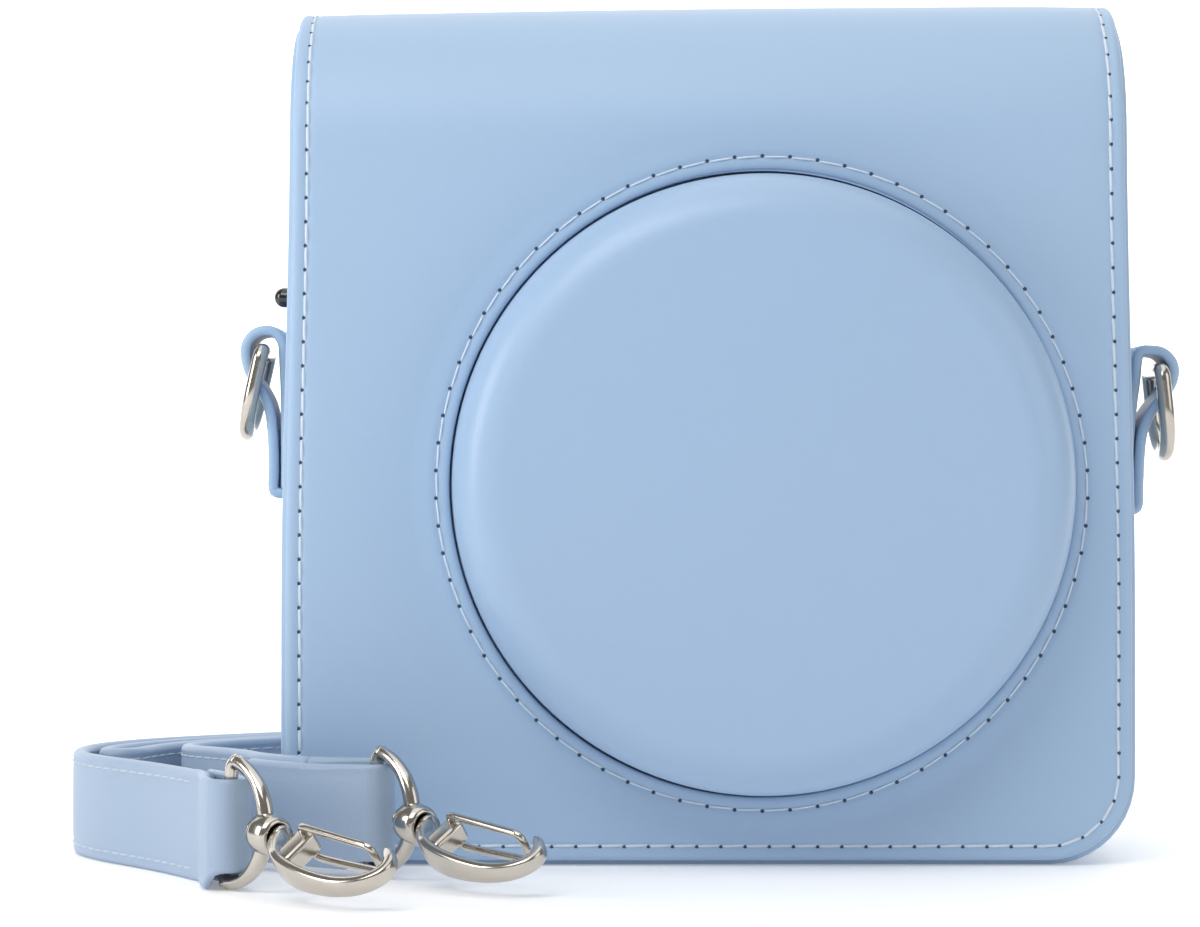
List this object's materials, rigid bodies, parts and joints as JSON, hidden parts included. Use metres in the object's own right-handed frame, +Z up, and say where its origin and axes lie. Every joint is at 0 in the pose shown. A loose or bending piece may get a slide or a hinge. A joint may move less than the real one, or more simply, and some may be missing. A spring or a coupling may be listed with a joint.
{
  "type": "instant camera in fitted case",
  "caption": "Square instant camera in a closed, fitted soft-leather case with a round moulded lens cup, a front flap, side D-rings and a clip-on shoulder strap.",
  "frame": {"origin": "centre of the case's base, on the surface it stands on", "axes": "+X the viewer's right, +Y from the lens to the back, +Z up; the lens looks along -Y"},
  "size_m": [0.1873, 0.1534, 0.142],
  "materials": {
    "leather": "smooth coated leather, satin",
    "lining": "short brushed plush",
    "nickel": "polished nickel plate",
    "magnet_steel": "plated steel",
    "camera_shell": "fine matte texture",
    "black_gloss": "gloss",
    "black_matte": "matte",
    "button_metal": "satin",
    "glass": "clear",
    "reflector": "faceted",
    "film_paper": "gloss-coated sheet",
    "roller_rubber": "ground smooth",
    "battery_sleeve": "shrink sleeve",
    "capacitor_sleeve": "shrink sleeve",
    "circuit": "solder resist",
    "thread": "twisted polyester thread"
  },
  "bodies": {
    "case": {"gusset": "leather", "back_panel": "leather", "body_lining": "lining", "front_lip": "leather", "lip_magnets": "magnet_steel", "tab_left": "leather", "tab_right": "leather", "camera_front_shell": "camera_shell", "camera_rear_shell": "camera_shell", "film_door": "camera_shell", "battery_door": "camera_shell", "lens_barrel": "black_matte", "lens_bezel": "black_gloss", "lens_glass": "glass", "lens_group": "black_matte", "viewfinder_window": "glass", "flash_window": "glass", "light_sensor_window": "glass", "viewfinder_eyepiece": "glass", "viewfinder_tube": "black_matte", "flash_reflector": "reflector", "shutter_switch": "black_matte", "film_cartridge": "black_matte", "film_sheets": "film_paper", "roller_brackets": "black_matte", "roller_motor": "magnet_steel", "batteries": "battery_sleeve", "flash_capacitor": "capacitor_sleeve", "circuit_board": "circuit", "camera_side_lug": "black_gloss", "shell_screws": "magnet_steel"},
    "flap": {"flap_panel": "leather", "flap_lining": "lining", "flap_magnets": "magnet_steel", "lens_cup": "leather", "cup_lining": "lining"},
    "left_ring": {"d_ring_left": "nickel"},
    "right_ring": {"d_ring_right": "nickel"},
    "lens_ring": {"lens_ring": "black_matte"},
    "shutter_button": {"shutter_button": "button_metal"},
    "front_roller": {"film_roller_front": "roller_rubber"},
    "rear_roller": {"film_roller_rear": "roller_rubber"},
    "strap": {"strap": "leather", "strap_end_1": "leather", "strap_end_2": "leather"},
    "strap_ring_1": {"strap_ring_1": "nickel"},
    "strap_ring_2": {"strap_ring_2": "nickel"},
    "hook_1": {"snap_hook_1": "nickel"},
    "hook_2": {"snap_hook_2": "nickel"},
    "gate_1": {"wire_gate_1": "nickel"},
    "gate_2": {"wire_gate_2": "nickel"}
  },
  "joints": [
    {"name": "flap_hinge", "type": "hinge", "parent": "case", "child": "flap", "pos_m": [0, 0.0239, 0.1409], "axis": [-1, 0, 0], "range_deg": [0, 170]},
    {"name": "left_ring_swing", "type": "hinge", "parent": "case", "child": "left_ring", "pos_m": [-0.0747, 0, 0.08475], "axis": [0, 1, 0], "range_deg": [-8, 140]},
    {"name": "right_ring_swing", "type": "hinge", "parent": "case", "child": "right_ring", "pos_m": [0.0767, 0, 0.0815], "axis": [0, -1, 0], "range_deg": [-9, 140]},
    {"name": "lens_turn", "type": "hinge", "parent": "case", "child": "lens_ring", "pos_m": [0.0087, -0.027, 0.0624], "axis": [0, -1, 0], "range_deg": [0, 60]},
    {"name": "shutter_press", "type": "slide", "parent": "case", "child": "shutter_button", "axis": [0, 1, 0], "range_m": [0, 0.0012], "stiffness_N_per_m": 400, "springref_m": -0.0004},
    {"name": "front_roller_spin", "type": "hinge", "parent": "case", "child": "front_roller", "pos_m": [0, 0.00455, 0.124], "axis": [1, 0, 0], "continuous": true},
    {"name": "rear_roller_spin", "type": "hinge", "parent": "case", "child": "rear_roller", "pos_m": [0, 0.01145, 0.124], "axis": [1, 0, 0], "continuous": true},
    {"name": "strap_draw", "type": "slide", "parent": "case", "child": "strap", "axis": [-1, 0, 0], "range_m": [0, 0.2]},
    {"name": "strap_ring_1_swing", "type": "hinge", "parent": "strap", "child": "strap_ring_1", "pos_m": [-0.0752, -0.0585, 0.01075], "axis": [0.089, -0.0955, 0.9914], "range_deg": [-45, 22]},
    {"name": "hook_1_swivel", "type": "hinge", "parent": "strap_ring_1", "child": "hook_1", "pos_m": [-0.06817, -0.06604, 0.00939], "axis": [0.6762, -0.7251, -0.1305], "continuous": true},
    {"name": "gate_1_open", "type": "hinge", "parent": "hook_1", "child": "gate_1", "pos_m": [-0.06172, -0.0718, 0.00888], "axis": [0.3801, 0.4951, -0.7813], "range_deg": [0, 12], "stiffness_Nm_per_rad": 0.02, "springref_deg": -11.46},
    {"name": "strap_ring_2_swing", "type": "hinge", "parent": "strap", "child": "strap_ring_2", "pos_m": [-0.0539, -0.0417, 0.01075], "axis": [0.0903, -0.0942, 0.9914], "range_deg": [-25, 45]},
    {"name": "hook_2_swivel", "type": "hinge", "parent": "strap_ring_2", "child": "hook_2", "pos_m": [-0.04676, -0.04914, 0.00939], "axis": [0.6862, -0.7156, -0.1305], "continuous": true},
    {"name": "gate_2_open", "type": "hinge", "parent": "hook_2", "child": "gate_2", "pos_m": [-0.04022, -0.05478, 0.00884], "axis": [0.34, 0.4742, -0.8121], "range_deg": [0, 12], "stiffness_Nm_per_rad": 0.02, "springref_deg": -11.46}
  ],
  "couplings": [
    {"joint": "rear_roller_spin", "follows": "front_roller_spin", "ratio": -1}
  ]
}
